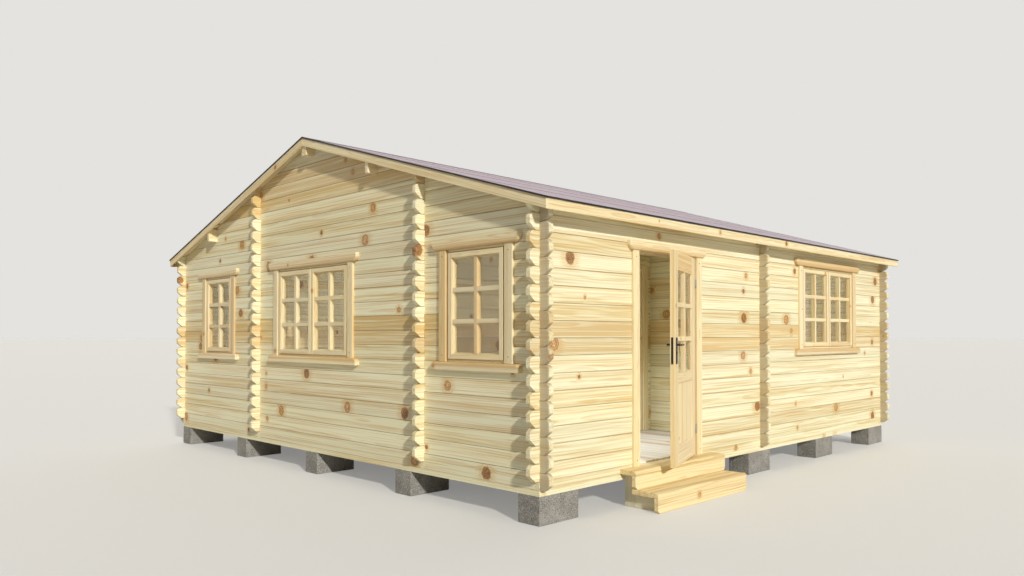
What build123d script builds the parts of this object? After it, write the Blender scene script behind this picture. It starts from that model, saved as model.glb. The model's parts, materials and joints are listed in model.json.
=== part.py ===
"""Log summer house on concrete blocks, with a low gable roof and one entrance door.

Frame: origin on the ground at the middle of the plan, +X along the eaves walls,
+Y from the entrance (front) wall to the back wall, +Z up. Sizes in millimetres.
"""

import os
from math import ceil, cos, radians, sin, sqrt

from build123d import *

# Plan, between the outer faces of the log walls
house_length = 6980
house_width = 6780
cross_wall_shift = 10
hall_wall_offset = 1435
bedroom_wall_shift = 1170

# Logs: one course high, with a rounded-off end that runs past each crossing
course = 140
log_thickness = 50
log_overhang = 105
tongue_head_length_share = 0.32
tongue_head_drop_share = 0.2
tongue_foot_length_share = 0.6
tongue_foot_drop_share = 0.36
corbel_start_share = 0.12
corbel_bend_share = 0.7
corbel_bend_rise_share = 0.14
corbel_end_rise_share = 0.37

# Clearance between pieces that are seated on each other
seat = 0.3
overrun = 20

# Foundation blocks and the sill beams on them
block_length = 465
block_width = 240
block_height = 230
blocks_each_way = 5
sill_height = 48
sill_width = 95

# Floor
floor_level = 66
floor_thickness = 28
joist_width = 60
joist_spacing = 600
floor_edge_gap = 8

# Roof
roof_rise_share = 0.303
wall_over_door = 259
deck_thickness = 20
covering_thickness = 12
covering_overhang = 7
gable_overhang = 125
eaves_overhang = 186
barge_thickness = 18
barge_depth = 85
fascia_thickness = 18
fascia_depth = 85
ridge_purlin_width = 90
ridge_purlin_height = 150
purlin_height = 162
front_purlin_offset = 2185
back_purlin_offset = 980

# Windows
sash_width = 700
sash_thickness = 40
sash_stile = 55
sash_clearance = 3
sash_recess = 5
glass_thickness = 4
lining_thickness = 20
window_courses = 7
window_sill_course = 7
casing_width = 90
casing_thickness = 25
casing_lap = 2
head_trim_height = 84
head_trim_thickness = 42
head_trim_reach = 95
head_trim_round = 55
window_sill_height = 70
window_sill_thickness = 48
window_sill_bevel = 30

# Entrance door, hinged on its right jamb and opening outwards
door_center = 1746
leaf_width = 898
leaf_thickness = 40
leaf_bottom = 56
leaf_top = 1961
leaf_outer_reach = 12
hinge_side_gap = 6
latch_side_gap = 9
jamb_thickness = 45
door_head_thickness = 61
door_courses = 14
stop_width = 22
stop_gap = 5
threshold_height = 48
door_casing_reveal = 10
door_head_trim_reach = 60
door_open_angle = 21

# Door leaf
leaf_stile = 150
leaf_top_rail = 170
leaf_lock_rail = 95
leaf_bottom_rail = 180
door_glass_bottom = 876
leaf_panel_thickness = 24

# Hinges and lever handle
hinge_axis_reach = 8
hinge_radius = 6
hinge_pin_radius = 3.4
hinge_knuckle = 42
hinge_pin_length = 77
hinge_plate_thickness = 2
hinge_plate_depth = 26
hinge_height_shares = (0.13, 0.87)
handle_height = 1127
handle_backset = 72
handle_plate_width = 40
handle_plate_height = 235
handle_plate_thickness = 8
handle_plate_drop_share = 0.72
spindle_width = 9
spindle_clearance = 1.5
lever_length = 118
lever_height = 18
lever_thickness = 15
lever_standoff = 42
lever_bend = 13
lever_gap = 1
lock_plate_width = 20
lock_plate_thickness = 1.5

# Inner doorways
inner_door_width = 820
inner_door_end_gap = 100
inner_casing_width = 90
inner_casing_thickness = 20

# Steps
steps_width = 1462
lower_tread_level = 169
upper_tread_level = 326
lower_riser_reach = 399
upper_riser_reach = 169
tread_thickness = 42
tread_round = 28
riser_thickness = 42
riser_bevel = 24
stringer_thickness = 45
stringer_inset = 70

# Places that follow from the sizes above
left = -house_length / 2
right = house_length / 2
front = -house_width / 2
back = house_width / 2
sill_top = block_height + sill_height
half_course = course / 2
middle_wall_x = cross_wall_shift
hall_wall_y = front + hall_wall_offset
bedroom_wall_y = bedroom_wall_shift
floor_top = sill_top + floor_level
slope_length_share = sqrt(1 + roof_rise_share**2)
deck_height = deck_thickness * slope_length_share
covering_height = covering_thickness * slope_length_share
door_x = left + door_center
door_clear_width = leaf_width + hinge_side_gap + latch_side_gap
door_opening_width = door_clear_width + 2 * (jamb_thickness + seat)
door_opening_height = door_courses * course + half_course
door_opening_top = sill_top + door_opening_height
door_clear_top = door_opening_top - seat - door_head_thickness
window_height = window_courses * course
eaves_height = door_opening_height + wall_over_door
eaves_courses = ceil((eaves_height - half_course) / course)
corbel_course = eaves_courses - 1

os.makedirs("parts", exist_ok=True)


def save(builder, node):
    """Label a finished piece and write its STEP file."""
    builder.part.label = node
    export_step(builder.part, f"parts/{node}.step")


def slab(x_span, y_span, z_span, mode=Mode.ADD):
    """Add a box between pairs of coordinates to the part being built, or cut it out."""
    spans = (x_span, y_span, z_span)
    middle = [(low + high) / 2 for low, high in spans]
    with Locations(tuple(middle)):
        Box(*[high - low for low, high in spans], mode=mode)


def roof_underside(y):
    """Height of the roof boards' underside above the line at y."""
    run = min(y - front, back - y)
    return sill_top + eaves_height + roof_rise_share * run


def run_plane(along_x, low_face):
    """Plane of a wall's log outlines, with its first axis along the wall."""
    if along_x:
        return Plane(origin=(0, low_face, 0), x_dir=(1, 0, 0), z_dir=(0, -1, 0))
    return Plane(origin=(low_face, 0, 0), x_dir=(0, 1, 0), z_dir=(1, 0, 0))


def tongue(tip, inward, low, high):
    """Points of a log's end from its underside to its top, cut back further under than over."""
    foot = inward * tongue_foot_length_share * log_overhang
    head = inward * tongue_head_length_share * log_overhang
    return [
        (tip + foot, low),
        (tip, low + tongue_foot_drop_share * course),
        (tip, high - tongue_head_drop_share * course),
        (tip + head, high),
    ]


def corbel(tip, inward, low, high):
    """Points of the top log's end, swept up from the wall to a short nose under the eaves."""
    return [
        (tip + inward * (1 - corbel_start_share) * log_overhang, low),
        (tip + inward * (1 - corbel_bend_share) * log_overhang, low + corbel_bend_rise_share * course),
        (tip, low + corbel_end_rise_share * course),
        (tip, high),
    ]


def log_outline(start, end, low, high, crossings):
    """Outline of one log in its wall's plane, half cut away under each crossing log."""
    start_at, start_shape = start
    end_at, end_shape = end
    first = start_shape(start_at, 1, low, high) if start_shape else [(start_at, low), (start_at, high)]
    last = end_shape(end_at, -1, low, high) if end_shape else [(end_at, low), (end_at, high)]
    underside = []
    for cross_low in crossings:
        notch = (cross_low - seat, cross_low + log_thickness + seat)
        if start_at < notch[0] and notch[1] < end_at:
            cut = low + half_course
            underside += [(notch[0], low), (notch[0], cut), (notch[1], cut), (notch[1], low)]
    return first[::-1] + underside + last


def log_rows(first_low, count):
    """Lower and upper edge of each full log of a wall."""
    lows = [first_low + index * course for index in range(count)]
    return [(low + seat / 2, low + course - seat / 2) for low in lows]


def split_by_openings(start, end, low, high, openings):
    """Spans of a log that are left between the openings that cut it."""
    middle = (low + high) / 2
    spans = [(start, end)]
    for cut_low, cut_high, bottom, top in openings:
        if bottom < middle < top:
            (span_start, _), (_, span_end) = spans[-1], spans[-1]
            spans[-1:] = [(span_start, (cut_low, None)), ((cut_high, None), span_end)]
    return spans


def eaves_log_outlines(start, end, count, crossings, openings, end_shape=tongue):
    """Outlines of a wall along X: a half log on the sill, then full logs with shaped ends."""
    outlines = []
    base = (sill_top + seat, sill_top + half_course - seat / 2)
    for log_start, log_end in split_by_openings((start, None), (end, None), *base, openings):
        corners = [(log_start[0], base[0]), (log_end[0], base[0])]
        outlines.append(corners + [(along, base[1]) for along, _ in corners[::-1]])
    end_tip = end + log_overhang if end_shape else end
    tips = (start - log_overhang, tongue), (end_tip, end_shape)
    for low, high in log_rows(sill_top + half_course, count):
        for log_start, log_end in split_by_openings(*tips, low, high, openings):
            outlines.append(log_outline(log_start, log_end, low, high, crossings))
    return outlines


def gable_log_outlines(crossings, openings):
    """Outlines of a wall along Y: full logs, a corbel log under the eaves, then the gable."""
    outlines = []
    ridge_height = roof_underside(0) - sill_top
    for index, (low, high) in enumerate(log_rows(sill_top, int(ridge_height // course) + 1)):
        if index <= corbel_course:
            end_shape = tongue if index < corbel_course else corbel
            tips = (front - log_overhang, end_shape), (back + log_overhang, end_shape)
        else:
            inside = log_thickness + seat
            run = (low + 2 * seat - roof_underside(front)) / roof_rise_share
            inset = max(inside, run)
            tips = (front + inset, None), (back - inset, None)
        bottom = low + (seat if index == 0 else 0)
        for log_start, log_end in split_by_openings(*tips, low, high, openings):
            outlines.append(log_outline(log_start, log_end, bottom, high, crossings))
    return outlines


def purlin_spans():
    """Across and up spans of each purlin: ridge first, then front and back slope."""
    ridge_top = roof_underside(0) - ridge_purlin_width / 2 * roof_rise_share
    ridge_across = (-ridge_purlin_width / 2, ridge_purlin_width / 2)
    spans = [(ridge_across, (ridge_top - ridge_purlin_height, ridge_top))]
    for low_y in (front + front_purlin_offset, back - back_purlin_offset - log_thickness):
        top = min(roof_underside(low_y), roof_underside(low_y + log_thickness))
        spans.append(((low_y, low_y + log_thickness), (top - purlin_height, top)))
    return spans


def log_wall(along_x, low_face, outlines):
    """Build a wall's logs, cut them to the roof and let the purlins through."""
    with BuildPart() as wall:
        with BuildSketch(run_plane(along_x, low_face)):
            for outline in outlines:
                with BuildLine():
                    Polyline(*outline, close=True)
                make_face()
        extrude(amount=-log_thickness if along_x else log_thickness)
        with BuildSketch(Plane.YZ):
            with BuildLine():
                far = house_width + eaves_overhang
                lift = sill_top + eaves_height - seat
                ends = far - house_width / 2
                Polyline(
                    (-far, lift - roof_rise_share * ends),
                    (0, lift + roof_rise_share * house_width / 2),
                    (far, lift - roof_rise_share * ends),
                    (far, lift + house_width),
                    (-far, lift + house_width),
                    close=True,
                )
            make_face()
        extrude(amount=house_length, both=True, mode=Mode.SUBTRACT)
        if not along_x:
            for (low_y, high_y), (low_z, high_z) in purlin_spans():
                slab(
                    (low_face - overrun, low_face + log_thickness + overrun),
                    (low_y - seat, high_y + seat),
                    (low_z - seat, high_z + seat + overrun),
                    mode=Mode.SUBTRACT,
                )
            for offcut in wall.solids().filter_by(lambda log: log.volume < log_thickness**3):
                add(offcut, mode=Mode.SUBTRACT)
    return wall


def window_opening(center, sashes, eaves_side):
    """Span of the logs that a window takes out of its wall."""
    width = window_clear_width(sashes) + 2 * (lining_thickness + seat)
    bottom = sill_top + window_sill_course * course + (half_course if eaves_side else 0)
    return (center - width / 2, center + width / 2, bottom, bottom + window_height)


def window_clear_width(sashes):
    """Width between a window's linings."""
    return sashes * sash_width + (sashes + 1) * sash_clearance


# Rooms between the inner faces of the walls
hall_room = ((left + log_thickness, middle_wall_x), (front + log_thickness, hall_wall_y))
living_room = (hall_room[0], (hall_wall_y + log_thickness, bedroom_wall_y))
bedroom = (hall_room[0], (bedroom_wall_y + log_thickness, back - log_thickness))
end_room_x = (middle_wall_x + log_thickness, right - log_thickness)
end_room = (end_room_x, (front + log_thickness, back - log_thickness))
rooms = [hall_room, living_room, bedroom, end_room]

# Windows as centre along the wall and number of sashes: in the gables' and the rooms' middles
left_gable_windows = [(sum(hall_room[1]) / 2, 1), (0, 2), (sum(bedroom[1]) / 2, 1)]
right_gable_windows = [(0, 2)]
eaves_windows = [(sum(end_room_x) / 2, 2)]

# Doorways: the entrance, one beside the cross wall in each wall along X, and one in the cross wall
door_opening = (
    door_x - door_opening_width / 2,
    door_x + door_opening_width / 2,
    sill_top,
    door_opening_top,
)
inner_opening_width = inner_door_width + 2 * (lining_thickness + seat)
inner_doorway_x = middle_wall_x - inner_door_end_gap - inner_casing_width - inner_door_width / 2
cross_doorway_y = sum(living_room[1]) / 2


def inner_opening(center, along_x):
    """Span of the logs that an inner doorway takes out of its wall."""
    bottom = sill_top + (half_course if along_x else 0)
    top = sill_top + door_courses * course + (half_course if along_x else 0)
    return (center - inner_opening_width / 2, center + inner_opening_width / 2, bottom, top)


# Foundation blocks, in even rows both ways
block_x_step = (house_length - block_length) / (blocks_each_way - 1)
block_y_step = (house_width - block_width) / (blocks_each_way - 1)
with BuildPart() as foundation_blocks:
    with GridLocations(block_x_step, block_y_step, blocks_each_way, blocks_each_way):
        Box(block_length, block_width, block_height, align=(Align.CENTER, Align.CENTER, Align.MIN))
save(foundation_blocks, "foundation_blocks")

# Sill beams: five along Y on the block rows, shorter ones along X between them
sill_span = (block_height + seat, sill_top)
middle_sill_x = middle_wall_x + log_thickness / 2
sill_columns = [
    (left, left + sill_width),
    (-block_x_step - sill_width / 2, -block_x_step + sill_width / 2),
    (middle_sill_x - sill_width / 2, middle_sill_x + sill_width / 2),
    (block_x_step - sill_width / 2, block_x_step + sill_width / 2),
    (right - sill_width, right),
]
bays = list(zip(sill_columns, sill_columns[1:]))
inner_bays = [bay for bay in bays if bay[0][0] < middle_sill_x - sill_width]
sill_rows = [(front, bays), (back - sill_width, bays)]
for wall_y in (hall_wall_y, bedroom_wall_y):
    sill_rows.append((wall_y + log_thickness / 2 - sill_width / 2, inner_bays))
with BuildPart() as sill_beams:
    for column in sill_columns:
        slab(column, (front, back), sill_span)
    for row_y, row_bays in sill_rows:
        for first, second in row_bays:
            slab((first[1] + seat, second[0] - seat), (row_y, row_y + sill_width), sill_span)
save(sill_beams, "sill_beams")

# Floor joists along X on the sill beams, and one floor of boards a room
joist_span = (sill_top + seat, floor_top - floor_thickness - seat)
with BuildPart() as floor_joists:
    for x_span, y_span in rooms:
        joist_x = (x_span[0] + floor_edge_gap, x_span[1] - floor_edge_gap)
        run = y_span[1] - y_span[0] - joist_width - 2 * floor_edge_gap
        steps = max(1, round(run / joist_spacing))
        for index in range(steps + 1):
            joist_y = y_span[0] + floor_edge_gap + index * run / steps
            slab(joist_x, (joist_y, joist_y + joist_width), joist_span)
save(floor_joists, "floor_joists")

with BuildPart() as floor_boards:
    for x_span, y_span in rooms:
        slab(
            (x_span[0] + floor_edge_gap, x_span[1] - floor_edge_gap),
            (y_span[0] + floor_edge_gap, y_span[1] - floor_edge_gap),
            (floor_top - floor_thickness, floor_top),
        )
save(floor_boards, "floor_boards")

# Front wall, in three nodes about the entrance
front_crossings = [left, middle_wall_x, right - log_thickness]
front_openings = [door_opening] + [window_opening(*window, True) for window in eaves_windows]
front_outlines = eaves_log_outlines(left, right, eaves_courses, front_crossings, front_openings)
beside_left = [outline for outline in front_outlines if max(x for x, _ in outline) < door_x]
beside_right = [outline for outline in front_outlines if min(x for x, _ in outline) > door_x]
over_door = [outline for outline in front_outlines if outline not in beside_left + beside_right]
save(log_wall(True, front, beside_left), "front_wall_left")
save(log_wall(True, front, beside_right), "front_wall_right")
save(log_wall(True, front, over_door), "front_wall_over_door")

# Back wall and the two gable walls
back_openings = [window_opening(*window, True) for window in eaves_windows]
back_outlines = eaves_log_outlines(left, right, eaves_courses, front_crossings, back_openings)
save(log_wall(True, back - log_thickness, back_outlines), "back_wall")

gable_crossings = [front, hall_wall_y, bedroom_wall_y, back - log_thickness]
left_openings = [window_opening(*window, False) for window in left_gable_windows]
save(log_wall(False, left, gable_log_outlines(gable_crossings, left_openings)), "left_gable_wall")

right_openings = [window_opening(*window, False) for window in right_gable_windows]
outer_crossings = [front, back - log_thickness]
right_outlines = gable_log_outlines(outer_crossings, right_openings)
save(log_wall(False, right - log_thickness, right_outlines), "right_gable_wall")

# Inner walls: their log ends show on the outer walls, and two of them butt on the third
inner_openings = [inner_opening(inner_doorway_x, True)]
for node, wall_y in (("hall_wall", hall_wall_y), ("bedroom_wall", bedroom_wall_y)):
    rise = max(roof_underside(wall_y), roof_underside(wall_y + log_thickness)) - sill_top - half_course
    rows = int(rise // course) + 1
    outlines = eaves_log_outlines(left, middle_wall_x - seat, rows, [left], inner_openings, None)
    save(log_wall(True, wall_y, outlines), node)

cross_outlines = gable_log_outlines(outer_crossings, [inner_opening(cross_doorway_y, False)])
save(log_wall(False, middle_wall_x, cross_outlines), "cross_wall")

# Purlins run through the gable walls to the barge boards
purlin_reach = gable_overhang - barge_thickness - seat
purlin_x = (left - purlin_reach, right + purlin_reach)
ridge_span, *slope_spans = purlin_spans()
with BuildPart() as ridge_purlin:
    slab(purlin_x, ridge_span[0], (ridge_span[1][0], ridge_span[1][1] - seat))
save(ridge_purlin, "ridge_purlin")

with BuildPart() as roof_purlins:
    for y_span, z_span in slope_spans:
        slab(purlin_x, y_span, (z_span[0], z_span[1] - seat))
save(roof_purlins, "roof_purlins")


def roof_layer(x_span, eave_reach, low, high, ridge_gap, front_side):
    """One slope of a roof layer, between two heights over the boards' underside."""
    side = 1 if front_side else -1
    eave_y = front - eave_reach
    eave_z = sill_top + eaves_height - roof_rise_share * eave_reach
    ridge_y = -ridge_gap
    ridge_z = sill_top + eaves_height + roof_rise_share * (ridge_y - front)
    with BuildPart() as layer:
        with BuildSketch(Plane(origin=(x_span[0], 0, 0), x_dir=(0, 1, 0), z_dir=(1, 0, 0))):
            with BuildLine():
                Polyline(
                    (side * eave_y, eave_z + low),
                    (side * ridge_y, ridge_z + low),
                    (side * ridge_y, ridge_z + high),
                    (side * eave_y, eave_z + high),
                    close=True,
                )
            make_face()
        extrude(amount=x_span[1] - x_span[0])
    return layer


deck_reach = eaves_overhang - fascia_thickness - seat
covering_side = gable_overhang + covering_overhang
covering_x = (left - covering_side, right + covering_side)
for node, front_side in (("front", True), ("back", False)):
    deck = roof_layer(purlin_x, deck_reach, 0, deck_height - seat, seat, front_side)
    save(deck, f"roof_deck_{node}")
    covering_reach = eaves_overhang + covering_overhang
    top = deck_height + covering_height
    covering = roof_layer(covering_x, covering_reach, deck_height, top, seat, front_side)
    save(covering, f"roof_covering_{node}")

# Barge boards up the gables and fascias along the eaves
barge_top = deck_height - seat
barge_faces = {"left": left - gable_overhang, "right": right + gable_overhang - barge_thickness}
for node, outer_x in barge_faces.items():
    with BuildPart() as barge_boards:
        for side in (1, -1):
            eave_y = front - eaves_overhang
            eave_z = sill_top + eaves_height - roof_rise_share * eaves_overhang + barge_top
            ridge_z = roof_underside(0) + barge_top
            with BuildSketch(Plane(origin=(outer_x, 0, 0), x_dir=(0, 1, 0), z_dir=(1, 0, 0))):
                with BuildLine():
                    Polyline(
                        (side * eave_y, eave_z - barge_depth),
                        (-side * seat, ridge_z - barge_depth),
                        (-side * seat, ridge_z),
                        (side * eave_y, eave_z),
                        close=True,
                    )
                make_face()
            extrude(amount=barge_thickness)
    save(barge_boards, f"{node}_barge_boards")

fascia_top = sill_top + eaves_height - roof_rise_share * eaves_overhang + deck_height - seat
for node, side in (("front", -1), ("back", 1)):
    outer_y = side * (house_width / 2 + eaves_overhang)
    inner_y = outer_y - side * fascia_thickness
    with BuildPart() as fascia:
        slab(purlin_x, tuple(sorted((outer_y, inner_y))), (fascia_top - fascia_depth, fascia_top))
    save(fascia, f"{node}_fascia")

# Windows: every piece is placed along its wall, outwards from its face and up
wall_sides = {
    "front": (True, front, -1),
    "back": (True, back, 1),
    "left": (False, left, -1),
    "right": (False, right, 1),
}
windows = [("left", *window, False) for window in left_gable_windows]
windows += [("right", *window, False) for window in right_gable_windows]
windows += [(side, *window, True) for side in ("front", "back") for window in eaves_windows]


def on_wall(side, along, out, up):
    """Add a box given along a wall, out of its outer face and up."""
    along_x, face, outward = wall_sides[side]
    across = tuple(sorted(face + outward * reach for reach in out))
    if along_x:
        slab(along, across, up)
    else:
        slab(across, along, up)


def frame_bars(side, along, out, up, bar):
    """Two uprights and two cross bars about an opening, just clear of each other."""
    on_wall(side, (along[0], along[0] + bar), out, up)
    on_wall(side, (along[1] - bar, along[1]), out, up)
    between = (along[0] + bar + seat, along[1] - bar - seat)
    on_wall(side, between, out, (up[0], up[0] + bar))
    on_wall(side, between, out, (up[1] - bar, up[1]))


def sash_places(center, sashes, eaves_side):
    """Along and up spans of each sash of a window."""
    low, _, bottom, top = window_opening(center, sashes, eaves_side)
    rim = seat + lining_thickness + sash_clearance
    for index in range(sashes):
        start = low + rim + index * (sash_width + sash_clearance)
        yield (start, start + sash_width), (bottom + lining_thickness + 2 * seat, top - rim)


with BuildPart() as window_frames:
    for side, center, sashes, eaves_side in windows:
        low, high, bottom, top = window_opening(center, sashes, eaves_side)
        along = (low + seat, high - seat)
        frame_bars(side, along, (-log_thickness, 0), (bottom + seat, top - seat), lining_thickness)
save(window_frames, "window_frames")

sash_out = (-sash_recess - sash_thickness, -sash_recess)
with BuildPart() as window_sashes:
    for side, *window in windows:
        for along, up in sash_places(*window):
            frame_bars(side, along, sash_out, up, sash_stile)
save(window_sashes, "window_sashes")

glass_out = -sash_recess - sash_thickness / 2
with BuildPart() as window_glass:
    for side, *window in windows:
        for along, up in sash_places(*window):
            rim = sash_stile + seat
            on_wall(
                side,
                (along[0] + rim, along[1] - rim),
                (glass_out - glass_thickness / 2, glass_out + glass_thickness / 2),
                (up[0] + rim, up[1] - rim),
            )
save(window_glass, "window_glass")

casing_out = (seat, casing_thickness)
with BuildPart() as window_casings:
    for side, center, sashes, eaves_side in windows:
        low, high, bottom, top = window_opening(center, sashes, eaves_side)
        inner = (low + casing_lap, high - casing_lap)
        up = (bottom + seat, top - seat)
        on_wall(side, (inner[0] - casing_width, inner[0]), casing_out, up)
        on_wall(side, (inner[1], inner[1] + casing_width), casing_out, up)
save(window_casings, "window_casings")


def trim_board(side, along, up, thickness, shape_corners):
    """Board across a wall's face, with the corners of its outline shaped."""
    along_x, face, outward = wall_sides[side]
    near, far = sorted((face + outward * seat, face + outward * thickness))
    with BuildSketch(run_plane(along_x, near)) as outline:
        with Locations(((along[0] + along[1]) / 2, (up[0] + up[1]) / 2)):
            Rectangle(along[1] - along[0], up[1] - up[0])
        shape_corners(outline.vertices())
    amount = (near - far) if along_x else (far - near)
    return extrude(outline.sketch, amount=amount, mode=Mode.PRIVATE)


def round_lower(corners):
    """Round the lower corners of a head trim."""
    fillet(corners.group_by(Axis.Y)[0], head_trim_round)


def bevel_upper(corners):
    """Bevel the upper corners of a window sill."""
    chamfer(corners.group_by(Axis.Y)[-1], window_sill_bevel)


def trim_boards(places, thickness, shape_corners):
    """Part with one shaped board for each wall place."""
    with BuildPart() as trims:
        for place in places:
            add(trim_board(*place, thickness, shape_corners))
    return trims


head_places = []
sill_places = []
for side, center, sashes, eaves_side in windows:
    low, high, bottom, top = window_opening(center, sashes, eaves_side)
    reach = casing_width - casing_lap + head_trim_reach
    along = (low - reach, high + reach)
    head_places.append((side, along, (top, top + head_trim_height)))
    sill_places.append((side, along, (bottom - window_sill_height, bottom)))
save(trim_boards(head_places, head_trim_thickness, round_lower), "window_head_trims")
save(trim_boards(sill_places, window_sill_thickness, bevel_upper), "window_sills")

# Entrance door frame with separate stops, threshold, casing and head trim
clear = (door_x - door_clear_width / 2, door_x + door_clear_width / 2)
frame_out = (-log_thickness, 0)
stop_out = (-log_thickness, leaf_outer_reach - leaf_thickness - stop_gap)
jamb_up = (sill_top + seat, door_clear_top - seat)
with BuildPart() as door_frame:
    on_wall("front", (clear[0] - jamb_thickness, clear[0]), frame_out, jamb_up)
    on_wall("front", (clear[1], clear[1] + jamb_thickness), frame_out, jamb_up)
    head_along = (clear[0] - jamb_thickness, clear[1] + jamb_thickness)
    on_wall("front", head_along, frame_out, (door_clear_top, door_opening_top - seat))
    stop_up = (sill_top + threshold_height + seat, door_clear_top - seat)
    on_wall("front", (clear[0] + seat, clear[0] + stop_width), stop_out, stop_up)
    on_wall("front", (clear[1] - stop_width, clear[1] - seat), stop_out, stop_up)
    stop_along = (clear[0] + stop_width + seat, clear[1] - stop_width - seat)
    on_wall("front", stop_along, stop_out, (stop_up[1] - stop_width, stop_up[1]))
save(door_frame, "door_frame")

with BuildPart() as door_threshold:
    threshold_up = (sill_top + seat, sill_top + threshold_height)
    on_wall("front", (clear[0] + seat, clear[1] - seat), frame_out, threshold_up)
save(door_threshold, "door_threshold")

casing_inner = (clear[0] - door_casing_reveal, clear[1] + door_casing_reveal)
door_casing_up = (upper_tread_level + seat, door_clear_top - seat)
with BuildPart() as door_casing:
    for along in (
        (casing_inner[0] - casing_width, casing_inner[0]),
        (casing_inner[1], casing_inner[1] + casing_width),
    ):
        on_wall("front", along, casing_out, door_casing_up)
save(door_casing, "door_casing")

door_head_along = (
    casing_inner[0] - casing_width - door_head_trim_reach,
    casing_inner[1] + casing_width + door_head_trim_reach,
)
door_head_place = ("front", door_head_along, (door_clear_top, door_clear_top + head_trim_height))
save(trim_boards([door_head_place], head_trim_thickness, round_lower), "door_head_trim")

# Inner doorways: linings in the log walls and casings on both faces
inner_doorways = [
    (True, hall_wall_y, inner_doorway_x),
    (True, bedroom_wall_y, inner_doorway_x),
    (False, middle_wall_x, cross_doorway_y),
]


def in_wall(along_x, along, across, up):
    """Add a box given along an inner wall, across it and up."""
    if along_x:
        slab(along, across, up)
    else:
        slab(across, along, up)


with BuildPart() as inner_door_linings:
    for along_x, low_face, center in inner_doorways:
        low, high, bottom, top = inner_opening(center, along_x)
        along = (low + seat, high - seat)
        across = (low_face, low_face + log_thickness)
        up = (max(bottom + seat, floor_top + seat), top - seat)
        in_wall(along_x, (along[0], along[0] + lining_thickness), across, up)
        in_wall(along_x, (along[1] - lining_thickness, along[1]), across, up)
        head_along = (along[0] + lining_thickness + seat, along[1] - lining_thickness - seat)
        in_wall(along_x, head_along, across, (up[1] - lining_thickness, up[1]))
save(inner_door_linings, "inner_door_linings")

with BuildPart() as inner_door_casings:
    for along_x, low_face, center in inner_doorways:
        low, high, _, top = inner_opening(center, along_x)
        inner = (low + casing_lap, high - casing_lap)
        outer = (inner[0] - inner_casing_width, inner[1] + inner_casing_width)
        side_up = (floor_top + seat, top - casing_lap)
        head_up = (top - casing_lap + seat, top - casing_lap + inner_casing_width)
        for across in (
            (low_face - inner_casing_thickness, low_face - seat),
            (low_face + log_thickness + seat, low_face + log_thickness + inner_casing_thickness),
        ):
            in_wall(along_x, (outer[0], inner[0]), across, side_up)
            in_wall(along_x, (inner[1], outer[1]), across, side_up)
            in_wall(along_x, outer, across, head_up)
save(inner_door_casings, "inner_door_casings")

# Door leaf, built in its own plane: X from the hinge axis to the lock edge, Y outwards
hinge_x = clear[1] - hinge_side_gap / 2
hinge_y = front - leaf_outer_reach - hinge_axis_reach
swing = radians(door_open_angle)
leaf_plane = Plane(
    origin=(hinge_x, hinge_y, 0),
    x_dir=(-cos(swing), -sin(swing), 0),
    z_dir=(0, 0, 1),
)
leaf_start = hinge_side_gap / 2
leaf_end = leaf_start + leaf_width
leaf_out = (-hinge_axis_reach - leaf_thickness, -hinge_axis_reach)
leaf_low = sill_top + leaf_bottom
leaf_high = sill_top + leaf_top
glass_low = sill_top + door_glass_bottom


def on_leaf(along, out, up):
    """Add a box given along the leaf, out of its hinge axis and up."""
    middle = ((along[0] + along[1]) / 2, (out[0] + out[1]) / 2, (up[0] + up[1]) / 2)
    with Locations(leaf_plane.location):
        with Locations(middle):
            Box(along[1] - along[0], out[1] - out[0], up[1] - up[0])


stile_inner = (leaf_start + leaf_stile, leaf_end - leaf_stile)
spindle_at = leaf_end - handle_backset
spindle_up = sill_top + handle_height
between_stiles = (stile_inner[0] + seat, stile_inner[1] - seat)
lock_rail_up = (glass_low - leaf_lock_rail, glass_low - seat)
panel_up = (leaf_low + leaf_bottom_rail, lock_rail_up[0] - seat)
leaf_middle = (leaf_out[0] + leaf_out[1]) / 2


def spindle_bore(out):
    """Cut the round hole that the square spindle turns in."""
    radius = spindle_width / sqrt(2) + spindle_clearance
    place = leaf_plane.location * Pos(spindle_at, (out[0] + out[1]) / 2, spindle_up) * Rot(90, 0, 0)
    with Locations(place):
        Cylinder(radius, out[1] - out[0] + overrun, mode=Mode.SUBTRACT)


with BuildPart() as door_leaf_frame:
    on_leaf((leaf_start, stile_inner[0]), leaf_out, (leaf_low, leaf_high))
    on_leaf((stile_inner[1], leaf_end), leaf_out, (leaf_low, leaf_high))
    on_leaf(between_stiles, leaf_out, (leaf_low, leaf_low + leaf_bottom_rail - seat))
    on_leaf(between_stiles, leaf_out, lock_rail_up)
    on_leaf(between_stiles, leaf_out, (leaf_high - leaf_top_rail, leaf_high))
    spindle_bore(leaf_out)
save(door_leaf_frame, "door_leaf_frame")

with BuildPart() as door_panel:
    panel_out = (leaf_middle - leaf_panel_thickness / 2, leaf_middle + leaf_panel_thickness / 2)
    on_leaf(between_stiles, panel_out, panel_up)
save(door_panel, "door_panel")

with BuildPart() as door_glass:
    door_glass_out = (leaf_middle - glass_thickness / 2, leaf_middle + glass_thickness / 2)
    on_leaf(between_stiles, door_glass_out, (glass_low, leaf_high - leaf_top_rail - seat))
save(door_glass, "door_glass")

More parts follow.
